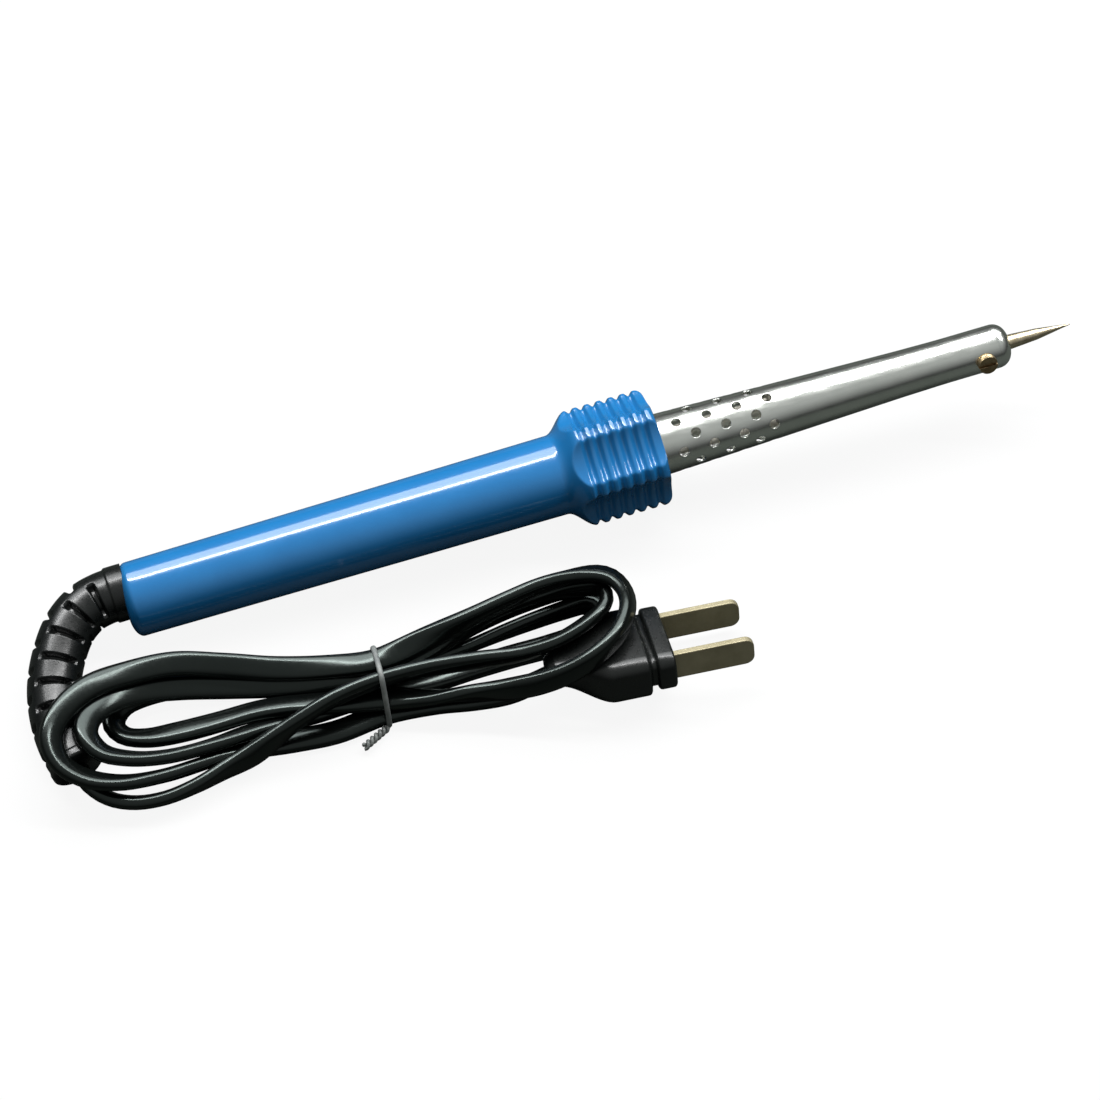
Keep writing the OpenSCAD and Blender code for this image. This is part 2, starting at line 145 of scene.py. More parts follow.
def curve_through(points, step):
    """A centripetal Catmull-Rom curve through points, evenly sampled. Values after x, y, z ride along."""
    p = np.asarray(points, dtype=float)
    p = np.vstack([2 * p[0] - p[1], p, 2 * p[-1] - p[-2]])
    dense = []
    for i in range(1, len(p) - 2):
        t = [0.0]
        for k in range(3):
            t.append(t[-1] + max(np.linalg.norm(p[i + k, :3] - p[i + k - 1, :3]), 1e-9) ** 0.5)
        for u in np.linspace(t[1], t[2], SPLINE_STEPS, endpoint=False):
            a = [((t[k + 1] - u) * p[i - 1 + k] + (u - t[k]) * p[i + k]) / (t[k + 1] - t[k])
                 for k in range(3)]
            b = [((t[k + 2] - u) * a[k] + (u - t[k]) * a[k + 1]) / (t[k + 2] - t[k])
                 for k in range(2)]
            dense.append(((t[2] - u) * b[0] + (u - t[1]) * b[1]) / (t[2] - t[1]))
    dense.append(p[-2])
    return resampled(np.array(dense), step)


def resampled(line, step):
    """The same line with its points an even step apart."""
    lengths = np.concatenate([[0.0], np.cumsum(np.linalg.norm(np.diff(line[:, :3], axis=0), axis=1))])
    count = max(int(round(lengths[-1] / step)), 2)
    at = np.linspace(0.0, lengths[-1], count + 1)
    return np.column_stack([np.interp(at, lengths, line[:, k]) for k in range(line.shape[1])])


def line_length(line):
    return float(np.linalg.norm(np.diff(line[:, :3], axis=0), axis=1).sum())


def tangents(line):
    return unit(np.gradient(line[:, :3], axis=0))


# --- Camera ---

CAMERA_AZIMUTH = math.radians(-17.84)
CAMERA_ELEVATION = math.radians(55.8)
CAMERA_AIM = Vector((0.0, 0.0, 0.010))
CAMERA_DISTANCE = 0.75
CAMERA_LENS = 114.7
SENSOR_WIDTH = 36.0
# Sideways and upwards, as fractions of the frame
CAMERA_SHIFT = (-0.051, -0.0744)


def make_camera():
    towards = Vector((math.sin(CAMERA_AZIMUTH) * math.cos(CAMERA_ELEVATION),
                      -math.cos(CAMERA_AZIMUTH) * math.cos(CAMERA_ELEVATION),
                      math.sin(CAMERA_ELEVATION)))
    data = bpy.data.cameras.new("camera")
    data.lens = CAMERA_LENS
    data.shift_x, data.shift_y = CAMERA_SHIFT
    data.sensor_width = SENSOR_WIDTH
    data.clip_start = 0.01
    data.clip_end = 10.0
    camera = bpy.data.objects.new("camera", data)
    camera.location = CAMERA_AIM + CAMERA_DISTANCE * towards
    camera.rotation_euler = towards.to_track_quat("Z", "Y").to_euler()
    bpy.context.scene.collection.objects.link(camera)
    bpy.context.scene.camera = camera


# --- Materials ---

def shader(name, **sockets):
    """A new material with its Principled BSDF's sockets set by name."""
    material = bpy.data.materials.new(name)
    material.use_nodes = True
    principled = material.node_tree.nodes["Principled BSDF"]
    for socket, value in sockets.items():
        principled.inputs[socket.replace("_", " ")].default_value = value
    return material, material.node_tree, principled


def node(tree, kind, **settings):
    made = tree.nodes.new(kind)
    for key, value in settings.items():
        if key in made.inputs:
            made.inputs[key].default_value = value
        elif key.replace("_", " ") in made.inputs:
            made.inputs[key.replace("_", " ")].default_value = value
        else:
            setattr(made, key, value)
    return made


def noise(tree, scale, detail=4.0, roughness=0.5, stretch=(1.0, 1.0, 1.0)):
    """Noise in object space, in cells per metre, stretched along the axes."""
    place = node(tree, "ShaderNodeTexCoord")
    mapping = node(tree, "ShaderNodeMapping")
    mapping.inputs["Scale"].default_value = stretch
    made = node(tree, "ShaderNodeTexNoise", Scale=scale, Detail=detail, Roughness=roughness)
    tree.links.new(place.outputs["Object"], mapping.inputs["Vector"])
    tree.links.new(mapping.outputs["Vector"], made.inputs["Vector"])
    return made.outputs["Fac"]


def ramp(tree, source, stops):
    """A colour ramp over a value, as (position, colour) stops."""
    made = node(tree, "ShaderNodeValToRGB")
    while len(made.color_ramp.elements) < len(stops):
        made.color_ramp.elements.new(0.5)
    for element, (position, colour) in zip(made.color_ramp.elements, stops):
        element.position = position
        element.color = (*colour, 1.0)
    tree.links.new(source, made.inputs["Fac"])
    return made.outputs["Color"]


def spread(tree, source, low, high):
    """Maps a noise's middle range onto low to high."""
    made = node(tree, "ShaderNodeMapRange")
    made.inputs["From Min"].default_value = 0.3
    made.inputs["From Max"].default_value = 0.7
    made.inputs["To Min"].default_value = low
    made.inputs["To Max"].default_value = high
    tree.links.new(source, made.inputs["Value"])
    return made.outputs["Result"]


def bump(tree, principled, layers):
    """Stacks bump layers of (height source, depth in metres, strength)."""
    normal = None
    for source, depth, strength in layers:
        made = node(tree, "ShaderNodeBump", Strength=strength, Distance=depth)
        tree.links.new(source, made.inputs["Height"])
        if normal:
            tree.links.new(normal, made.inputs["Normal"])
        normal = made.outputs["Normal"]
    tree.links.new(normal, principled.inputs["Normal"])


def worn_material(name, colours, roughness, grain, depth, metallic=0.0, stretch=(1, 1, 1),
                  **sockets):
    """A surface with mottled colour, uneven gloss and a fine grain."""
    material, tree, principled = shader(name, Metallic=metallic, **sockets)
    mottle = noise(tree, grain / 8.0, 5.0, 0.6)
    fine = noise(tree, grain, 3.0, 0.6, stretch)
    tree.links.new(ramp(tree, mottle, [(0.3, colours[0]), (0.7, colours[1])]),
                   principled.inputs["Base Color"])
    tree.links.new(spread(tree, fine, roughness[0], roughness[1]), principled.inputs["Roughness"])
    bump(tree, principled, [(fine, depth, 0.5)])
    return material


def make_materials():
    made = {}
    made["handle_plastic"] = worn_material(
        "handle_plastic", ((0.008, 0.126, 0.330), (0.010, 0.140, 0.360)), (0.16, 0.20), 900, 1e-6,
        Coat_Weight=0.6, Coat_Roughness=0.05)
    made["barrel_chrome"] = worn_material(
        "barrel_chrome", ((0.80, 0.82, 0.78), (0.88, 0.89, 0.85)), (0.17, 0.27), 1400, 1e-6,
        metallic=1.0, stretch=(0.15, 1.0, 1.0))
    made["plated_steel"] = worn_material(
        "plated_steel", ((0.55, 0.55, 0.53), (0.68, 0.68, 0.66)), (0.22, 0.38), 2200, 3e-6, metallic=1.0)
    made["plain_steel"] = worn_material(
        "plain_steel", ((0.36, 0.35, 0.33), (0.50, 0.49, 0.47)), (0.35, 0.55), 2600, 5e-6, metallic=1.0)
    made["bit_plating"] = worn_material(
        "bit_plating", ((0.56, 0.46, 0.30), (0.74, 0.66, 0.48)), (0.26, 0.42), 3000, 5e-6, metallic=1.0)
    made["brass_screw"] = worn_material(
        "brass_screw", ((0.22, 0.14, 0.07), (0.50, 0.38, 0.22)), (0.25, 0.45), 2600, 6e-6, metallic=1.0)
    made["mica_sheet"] = worn_material(
        "mica_sheet", ((0.42, 0.30, 0.16), (0.62, 0.50, 0.32)), (0.25, 0.5), 1500, 1e-5)
    made["resistance_wire"] = worn_material(
        "resistance_wire", ((0.16, 0.15, 0.14), (0.30, 0.28, 0.26)), (0.35, 0.6), 4000, 8e-6, metallic=1.0)
    made["ceramic"] = worn_material(
        "ceramic", ((0.74, 0.70, 0.62), (0.84, 0.81, 0.74)), (0.45, 0.7), 2500, 1e-5)
    made["terminal_brass"] = worn_material(
        "terminal_brass", ((0.60, 0.42, 0.15), (0.78, 0.58, 0.26)), (0.22, 0.4), 2400, 5e-6, metallic=1.0)
    made["brown_core"] = worn_material(
        "brown_core", ((0.10, 0.035, 0.012), (0.14, 0.05, 0.02)), (0.35, 0.5), 2000, 6e-6)
    made["blue_core"] = worn_material(
        "blue_core", ((0.01, 0.06, 0.32), (0.02, 0.09, 0.42)), (0.35, 0.5), 2000, 6e-6)
    made["clamp_plastic"] = worn_material(
        "clamp_plastic", ((0.05, 0.05, 0.05), (0.08, 0.08, 0.08)), (0.4, 0.6), 1600, 1e-5)
    made["cord_jacket"] = worn_material(
        "cord_jacket", ((0.0016, 0.0021, 0.0020), (0.0028, 0.0034, 0.0032)), (0.17, 0.23), 1200, 1.2e-6,
        Specular_IOR_Level=0.46, Specular_Tint=(0.86, 1.0, 0.95, 1.0))
    made["relief_rubber"] = worn_material(
        "relief_rubber", ((0.002, 0.0026, 0.0026), (0.004, 0.005, 0.005)), (0.24, 0.33), 1500, 3e-6)
    made["plug_pvc"] = worn_material(
        "plug_pvc", ((0.0036, 0.0044, 0.0042), (0.006, 0.007, 0.0066)), (0.26, 0.34), 1500, 2e-6)
    made["tie_wire"] = worn_material(
        "tie_wire", ((0.10, 0.11, 0.11), (0.20, 0.21, 0.20)), (0.35, 0.55), 2500, 1e-5)
    made["blade_metal"] = worn_material(
        "blade_metal", ((0.30, 0.265, 0.165), (0.40, 0.355, 0.235)), (0.42, 0.55), 1800, 4e-6,
        metallic=0.55, stretch=(0.2, 1.0, 1.0))
    return made


# --- Cord: a flat two-core flex folded into a hank ---

CORD_WIDTH = 5.2
CORD_THICKNESS = 3.0
CORE_OFFSET = (CORD_WIDTH - CORD_THICKNESS) / 2
CORE_RADIUS = CORD_THICKNESS / 2
CORD_STEP = 1.5
CORD_SIDES = 28

# How strands are pushed apart. Points less than NEIGHBOUR_POINTS apart along the cord may touch, and
# the points inside the relief and the plug may touch those.
SETTLE_ROUNDS = 160
SETTLE_GAIN = 1.4
SETTLE_EASE = 0.15
SETTLE_BLUR = 1.5
HELD_POINTS = 6
NEIGHBOUR_POINTS = 9
POINTS_IN_RELIEF = 8
POINTS_IN_PLUG = 6

# Where the cord leaves the strain relief and where the tie holds the bundle
RELIEF_END = (-123.8, -34.4, 5.2)
TIE_STATION = -60.0

# Points are [x, y, z, roll] in mm and degrees: roll 0 lies flat, 90 stands on its edge
LEAD_IN = [
    (*RELIEF_END, 60), (-122.9, -38.4, 4.5, 65), (-119.6, -42, 3.4, 60), (-115, -44.2, 3, 58),
    (-109, -44.8, 2.8, 58), (-102, -43.5, 2.8, 58), (-95, -41.1, 3, 58), (-89, -39.8, 3.9, 56),
    (-83, -38.7, 5.8, 55), (-77, -37.8, 8, 60), (-71, -36.8, 9.2, 75), (-65, -36, 9.6, 80),
]
TIE_SLOTS = [
    (-35.6, 9.6, 80), (-31.8, 5.6, 15), (-33.8, 1.6, 0), (-29.4, 2.7, 88), (-37.3, 4.8, 0),
    (-30.6, 9.0, 10), (-38.6, 1.6, 0),
]
# Each right loop runs out on the near side and comes back on the far side
RIGHT_LOOPS = [
    [(-50, -36.2, 10, 85), (-40, -37.8, 10.4, 88), (-30, -39.4, 10.2, 90), (-22, -39.1, 10.8, 90),
     (-15.2, -36.9, 11.6, 90), (-10.4, -33, 11.6, 90), (-10, -28.8, 11.2, 90), (-14.6, -25.8, 8.8, 90),
     (-22, -24.5, 6, 90), (-31, -25.2, 5.2, 90), (-40, -27.2, 5.4, 80), (-50, -30.2, 5.8, 40)],
    [(-50, -34.7, 1.6, 0), (-40, -34.2, 1.6, 0), (-31, -34.2, 1.6, 0), (-23.5, -34.7, 1.6, 0),
     (-17.6, -34.8, 1.8, 12), (-12.8, -33.2, 2.6, 60), (-10.8, -30.2, 3, 85), (-12.8, -27.6, 3, 88),
     (-17.4, -27.2, 3, 85), (-24, -27.4, 2.8, 88), (-32, -28.1, 2.7, 90), (-41, -29.1, 2.7, 90),
     (-51, -29.4, 2.7, 90)],
    [(-51, -40.4, 5.4, 40), (-43, -42.6, 6.6, 65), (-36, -44.9, 8, 75), (-28.6, -47, 10.4, 85),
     (-22, -47.8, 13, 90), (-16.5, -47, 15.2, 90), (-11.3, -43.8, 15.8, 90), (-7.8, -38.6, 15.2, 90),
     (-7, -33.6, 13.8, 90), (-8.8, -29.4, 13, 90), (-14, -26.8, 12.8, 90), (-22, -26, 12.6, 90),
     (-31, -26.9, 12, 90), (-40, -28.2, 11.2, 85), (-50, -29.6, 10, 50)],
]
# Each left loop runs out on the far side and comes back on the near side
LEFT_LOOPS = [
    [(-70, -30.4, 5.2, 20), (-80, -27.8, 5.2, 30), (-90, -24.9, 5.3, 36), (-100, -22.2, 5.7, 36),
     (-108, -21.4, 7, 38), (-115, -22.8, 8.6, 45), (-120.4, -26.2, 9.4, 48),
     (-122.4, -30.6, 9.2, 50), (-120.2, -34.6, 8.4, 52), (-115, -36.8, 7.3, 54), (-107, -38.2, 6, 56),
     (-97, -38.4, 4.8, 55), (-87, -37.2, 3.2, 35), (-77, -36, 1.9, 5), (-68, -34.6, 1.6, 0)],
    [(-70, -28.4, 2.6, 80), (-80, -24.9, 2.4, 50), (-90, -22, 2.2, 30), (-100, -19.9, 2.2, 30),
     (-107, -19.7, 2.3, 35), (-112.2, -21, 2.4, 38), (-114.8, -24.6, 2.5, 40), (-113.4, -28.3, 2.8, 36),
     (-109, -30.7, 3.4, 26), (-103.5, -31.8, 4, 12), (-94, -32.4, 4.2, 5), (-84, -32.7, 4.6, 0),
     (-74, -34.4, 4.8, 0)],
    [(-70, -28.8, 8.6, 22), (-80, -26, 8.6, 34), (-90, -22.1, 8.8, 38), (-100, -19, 9.4, 30),
     (-110, -19.3, 10.4, 32), (-118, -21.4, 12, 42), (-124.2, -25.4, 12.8, 50), (-127.6, -30, 12.4, 54),
     (-127.2, -35.4, 10.6, 58), (-123.6, -39, 8.4, 60), (-117, -40.9, 6.2, 62), (-108, -41.2, 4.9, 62),
     (-100, -40.3, 4, 55), (-91, -39, 3.2, 30), (-80, -38.8, 2.2, 5), (-71, -39.5, 1.6, 0)],
]
TAIL = [(-50, -39.6, 1.7, 0), (-42, -41.8, 2.6, 0), (-35.5, -43.9, 4.8, 6), (-30, -44.7, 7.2, 14),
        (-25.6, -44.5, 8.5, 19)]


def hank_route():
    """Every point of the cord: lead-in, then run, loop, run, loop to the tail."""
    points = list(LEAD_IN)
    slots = [(TIE_STATION, *slot) for slot in TIE_SLOTS]
    turns = [loop for pair in zip(RIGHT_LOOPS, LEFT_LOOPS) for loop in pair]
    for slot, turn in zip(slots, turns + [TAIL]):
        points += [slot] + list(turn)
    return points


def core_lines(line):
    """The cord's wide direction at each point, and the lines of its two cores."""
    along = tangents(line)
    level = unit(np.cross(along, [0.0, 0.0, 1.0]))
    rise = np.cross(level, along)
    roll = np.radians(line[:, 3:4])
    wide = np.cos(roll) * level + np.sin(roll) * rise
    return wide, level, rise, line[:, :3] + CORE_OFFSET * wide, line[:, :3] - CORE_OFFSET * wide


# The plug's sections that the cord lies against: station, half width and half depth in mm
PLUG_SECTIONS = [
    (-3, 9, 4.5), (-7, 9.6, 5), (-11, 9.6, 5), (-14, 9.6, 5), (-17, 7.9, 4.4), (-20, 6.2, 3.8),
    (-23, 4.6, 3.2),
]


def obstacles():
    """Spheres that stand for the strain relief and the plug, as centres and radii in mm."""
    sleeve = curve_through(RELIEF_ROUTE, 1.5)
    balls = [(p, RELIEF_RADII[1]) for p in sleeve[:-2]]
    for station, half_width, half_depth in PLUG_SECTIONS:
        for across in np.linspace(-1, 1, 9) * (half_width - half_depth):
            balls.append((plug_point(station, across, 0.0) / MM, half_depth))
    return np.array([b[0] for b in balls]), np.array([b[1] for b in balls])


def smoothed(values, width):
    """A moving average with a bell-shaped weight along the cord."""
    reach = int(3 * width)
    weights = np.exp(-0.5 * (np.arange(-reach, reach + 1) / width) ** 2)
    weights /= weights.sum()
    padded = np.pad(values, ((reach, reach), (0, 0)), mode="edge")
    return np.column_stack([np.convolve(padded[:, k], weights, mode="valid")
                            for k in range(values.shape[1])])


def settled(start):
    """Pushes strands out of each other, the floor, the relief and the plug, until they only touch."""
    ball_at, ball_r = obstacles()
    count = len(start)
    index = np.arange(count)
    neighbours = np.abs(index[:, None] - index[None, :]) < NEIGHBOUR_POINTS
    neighbours = np.block([[neighbours, neighbours], [neighbours, neighbours]])
    free = np.ones((count, 1))
    free[:HELD_POINTS] = np.linspace(0, 1, HELD_POINTS)[:, None]
    free[-HELD_POINTS:] = np.linspace(1, 0, HELD_POINTS)[:, None]
    inner_end = np.arange(2 * count) % count
    inner_end = (inner_end < POINTS_IN_RELIEF) | (inner_end >= count - POINTS_IN_PLUG)
    rows = np.arange(2 * count)
    offset = np.zeros_like(start)
    for _ in range(SETTLE_ROUNDS):
        line = start + offset
        wide, level, rise, left, right = core_lines(line)
        cores = np.vstack([left, right])
        gap = cores[:, None, :] - cores[None, :, :]
        distance = np.sqrt((gap ** 2).sum(axis=2)) + 1e-6
        overlap = np.clip(2 * CORE_RADIUS - distance, 0, None)
        overlap[neighbours] = 0
        touching = np.maximum((overlap > 0).sum(axis=1), 1)[:, None]
        push = 0.5 * (gap * (overlap / distance)[:, :, None]).sum(axis=1) / touching ** 0.5
        out = cores[:, None, :] - ball_at[None, :, :]
        far = np.sqrt((out ** 2).sum(axis=2)) + 1e-6
        inside = np.clip(ball_r[None, :] + CORE_RADIUS - far, 0, None)
        inside[inner_end] = 0
        deepest = inside.argmax(axis=1)
        push += (out[rows, deepest] / far[rows, deepest][:, None]) * inside[rows, deepest][:, None]
        push[:, 2] += np.clip(CORE_RADIUS - cores[:, 2], 0, None)
        move = 0.5 * (push[:count] + push[count:])
        roll = np.radians(line[:, 3:4])
        across = np.cos(roll) * rise - np.sin(roll) * level
        turn = ((push[:count] - push[count:]) * across).sum(axis=1, keepdims=True) / (2 * CORE_OFFSET)
        change = smoothed(np.column_stack([move, np.degrees(turn)]), SETTLE_BLUR)
        offset = (offset + SETTLE_GAIN * change) * free
        offset = offset + SETTLE_EASE * (smoothed(offset, SETTLE_BLUR) - offset)
    return start + offset


def flat_outline(around, squareness=2.7):
    """The cord's cross-section: a flat oval with full sides and slightly crowned faces."""
    outline = []
    for a in np.linspace(0, 2 * math.pi, around, endpoint=False):
        c, s = math.cos(a), math.sin(a)
        outline.append((CORD_WIDTH / 2 * math.copysign(abs(c) ** (2 / squareness), c),
                        CORD_THICKNESS / 2 * math.copysign(abs(s) ** (2 / squareness), s)))
    return np.array(outline)


def cord_rings(line):
    wide = core_lines(line)[0]
    thin = np.cross(wide, tangents(line))
    outline = flat_outline(CORD_SIDES)
    return (line[:, None, :3] + outline[None, :, 0:1] * wide[:, None, :]
            + outline[None, :, 1:2] * thin[:, None, :])


def make_hank(materials):
    """The whole cord in its hank, and the line that it follows."""
    line = resampled(settled(curve_through(hank_route(), CORD_STEP)), CORD_STEP)
    piece = rings_piece("hanked_cord", cord_rings(line) * MM, materials["cord_jacket"],
                        replaces=("cord_hank",), slot="cord_jacket")
    return piece, line


# --- Plug ---

PLUG_ROLL = -19.0
PLUG_TURN = -4.5
PLUG_FRONT = (-1.0, -44.4, 6.997)
PLUG_WIDTH = 21.0
PLUG_DEPTH = 10.0
PLUG_CORNER = 3.0
# The face plate, and the neck of the groove behind it
FACE_WIDTH = 20.0
FACE_DEPTH = 9.0
FACE_BACK = -3.9
NECK_WIDTH = 18.0
NECK_DEPTH = 7.0
NECK_CORNER = 2.2
BODY_FRONT = -5.4
# The body narrows to its tail, and the tail closes round the cord
TAPER_FROM = -13.0
TAPER_LENGTH = 11.0
TAIL_WIDTH = 8.2
TAIL_DEPTH = 6.2
TAIL_CORNER = 2.6


def rotation(axis, degrees):
    """A rotation about one of the coordinate axes, by its number."""
    c, s = math.cos(math.radians(degrees)), math.sin(math.radians(degrees))
    made = np.eye(3)
    i, j = (axis + 1) % 3, (axis + 2) % 3
    made[i, i] = made[j, j] = c
    made[i, j], made[j, i] = -s, s
    return made


PLUG_FRAME = rotation(2, PLUG_TURN) @ rotation(0, PLUG_ROLL)


def plug_point(x, y, z):
    """A point of the plug's own frame, whose front face is at x = 0, in metres."""
    return MM * (np.array(PLUG_FRONT) + PLUG_FRAME @ np.array([x, y, z]))


def rounded_rectangle(width, depth, corner, steps=7):
    outline = []
    for quadrant, (sy, sz) in enumerate(((1, 1), (-1, 1), (-1, -1), (1, -1))):
        for a in np.radians(np.linspace(0, 90, steps) + 90 * quadrant):
            outline.append((sy * (width / 2 - corner) + corner * math.cos(a),
                            sz * (depth / 2 - corner) + corner * math.sin(a)))
    return outline


def plug_ring(x, width, depth, corner):
    return [plug_point(x, y, z) for y, z in rounded_rectangle(width, depth, corner)]


def rounded_edge(x, width, depth, fillet, back=False):
    """Rings of a rounded edge that starts at a front face at x, or ends at a back face at x."""
    rings = []
    for a in np.radians(np.linspace(0, 90, 5)):
        inset = fillet * (1 - math.sin(a))
        run = fillet * (1 - math.cos(a))
        rings.append(plug_ring(x + run if back else x - run, width - 2 * inset, depth - 2 * inset,
                               PLUG_CORNER - 0.6 * inset))
    return rings[::-1] if back else rings


def make_plug(materials):
    """Face plate, groove, body and tapered tail in one moulding, with every edge rounded."""
    rings = rounded_edge(0.0, FACE_WIDTH, FACE_DEPTH, 0.7)
    rings += rounded_edge(FACE_BACK, FACE_WIDTH, FACE_DEPTH, 0.7, back=True)
    rings += [plug_ring(x, NECK_WIDTH, NECK_DEPTH, NECK_CORNER) for x in (-4.1, -5.2)]
    rings += rounded_edge(BODY_FRONT, PLUG_WIDTH, PLUG_DEPTH, 0.8)
    for t in np.linspace(0.0, 1.0, 14):
        ease = smooth_step(0.0, 1.0, t)
        rings.append(plug_ring(TAPER_FROM - TAPER_LENGTH * t, PLUG_WIDTH - (PLUG_WIDTH - TAIL_WIDTH) * ease,
                               PLUG_DEPTH - (PLUG_DEPTH - TAIL_DEPTH) * ease,
                               PLUG_CORNER - (PLUG_CORNER - TAIL_CORNER) * ease))
    for t in np.linspace(0.15, 1.0, 5):
        rings.append(plug_ring(TAPER_FROM - TAPER_LENGTH - 1.8 * t, TAIL_WIDTH - 2.2 * t,
                               TAIL_DEPTH - 2.2 * t, TAIL_CORNER - 0.7 * t))
    return rings_piece("plug_moulding", rings, materials["plug_pvc"], replaces=("plug_body",),
                       slot="plug_pvc")


# --- Strain relief ---

RELIEF_RADII = (5.65, 5.5)
RELIEF_ROUTE = [
    (-104.8, 1.8, 9), (-107, 1.8, 8.9), (-110, 1.6, 8.8), (-113.9, 0.6, 8.4), (-118, -2.4, 7.8),
    (-121.8, -8, 6.9), (-124.6, -15, 6), (-125.6, -22.4, 5.5), (-125.2, -29, 5.3), RELIEF_END,
]
# Distance from slot to slot, a slot's width, and the plain stretch at each end
RELIEF_PITCH = 2.85
RELIEF_SLOT = 1.15
RELIEF_PLAIN_START = 5.2
RELIEF_PLAIN_END = 2.6
# Half the angle that a slot spans, in degrees, and its depth, in the even and the odd rows
SLOT_REACH = (42, 34)
SLOT_DEPTH = (1.9, 1.2)
# The side that the even rows are centred on
RELIEF_FACING = np.array([0.0, -0.54, 0.84])


def make_relief(materials):
    """A bent rubber sleeve with staggered slots, a collar at the handle and a ring at its free end."""
    around = 120
    line = curve_through(RELIEF_ROUTE, 0.22)
    along = tangents(line)
    total = line_length(line)
    at = np.linspace(0.0, total, len(line))
    top = unit(RELIEF_FACING - (along @ RELIEF_FACING)[:, None] * along)
    side = np.cross(along, top)
    angles = np.linspace(0.0, 2 * math.pi, around, endpoint=False)
    radius = RELIEF_RADII[0] + (RELIEF_RADII[1] - RELIEF_RADII[0]) * at / total
    radius = radius + 0.35 * (1 - smooth_step(3.4, 3.8, at))
    radius = radius + 0.25 * smooth_step(total - 2.2, total - 1.8, at)
    radius = radius - 0.6 * smooth_step(total - 0.6, total, at) ** 2
    row = (at - RELIEF_PLAIN_START) / RELIEF_PITCH
    number = np.floor(row)
    within = np.abs(row - number - 0.5) * RELIEF_PITCH
    row_count = math.floor((total - RELIEF_PLAIN_START - RELIEF_PLAIN_END) / RELIEF_PITCH)
    slotted = (at > RELIEF_PLAIN_START) & (number < row_count)
    across = 1 - smooth_step(RELIEF_SLOT / 2 - 0.12, RELIEF_SLOT / 2 + 0.22, within)
    rings = []
    for i in range(len(line)):
        odd = int(number[i]) % 2
        turn = angles + (math.pi / 2 if odd else 0.0)
        span = np.abs((turn + math.pi / 2) % math.pi - math.pi / 2)
        reach = SLOT_REACH[odd]
        mask = 1 - smooth_step(math.radians(reach - 4), math.radians(reach + 3), span)
        depth = SLOT_DEPTH[odd] * across[i] * mask if slotted[i] else np.zeros(around)
        spokes = np.cos(angles)[:, None] * top[i] + np.sin(angles)[:, None] * side[i]
        rings.append(line[i, :3] + (radius[i] - depth)[:, None] * spokes)
    return rings_piece("slotted_relief", np.array(rings) * MM, materials["relief_rubber"],
                       replaces=("strain_relief",), slot="relief_rubber")


# --- Tie ---

TIE_WIDTH = 1.15
TIE_THICKNESS = 0.75
# How far along the bundle, each way, the tie takes its outline from
TIE_REACH = 2.2
TWIST_WIRE = 0.8
TWIST_LENGTH = 7.5
TWIST_TURNS = 3.2
TWIST_RADIUS = 0.52
TWIST_HEADING = unit(np.array([-0.75, -0.45, 0.1]))
# The lowest that the middle of a wire may lie
WIRE_HEIGHT = 0.4


def hull_around(points):
    """Convex hull of flat points, counter-clockwise."""
    ordered = sorted(map(tuple, points))
    halves = []
    for run in (ordered, ordered[::-1]):
        half = []
        for q in run:
            while len(half) > 1 and ((half[-1][0] - half[-2][0]) * (q[1] - half[-2][1])
                                     - (half[-1][1] - half[-2][1]) * (q[0] - half[-2][0])) <= 0:
                half.pop()
            half.append(q)
        halves += half[:-1]
    return np.array(halves)


def tube_rings(line, sides, wide, thin, closed=False):
    """An oval tube: wide along X, thin across the loop."""
    if closed:
        along = unit(np.roll(line, -1, axis=0) - np.roll(line, 1, axis=0))
    else:
        along = tangents(line)
    lean = np.array([1.0, 0.0, 0.0])
    first = unit(lean - (along @ lean)[:, None] * along)
    second = np.cross(along, first)
    angles = np.linspace(0, 2 * math.pi, sides, endpoint=False)
    return (line[:, None, :3] + wide / 2 * np.cos(angles)[None, :, None] * first[:, None, :]
            + thin / 2 * np.sin(angles)[None, :, None] * second[:, None, :])


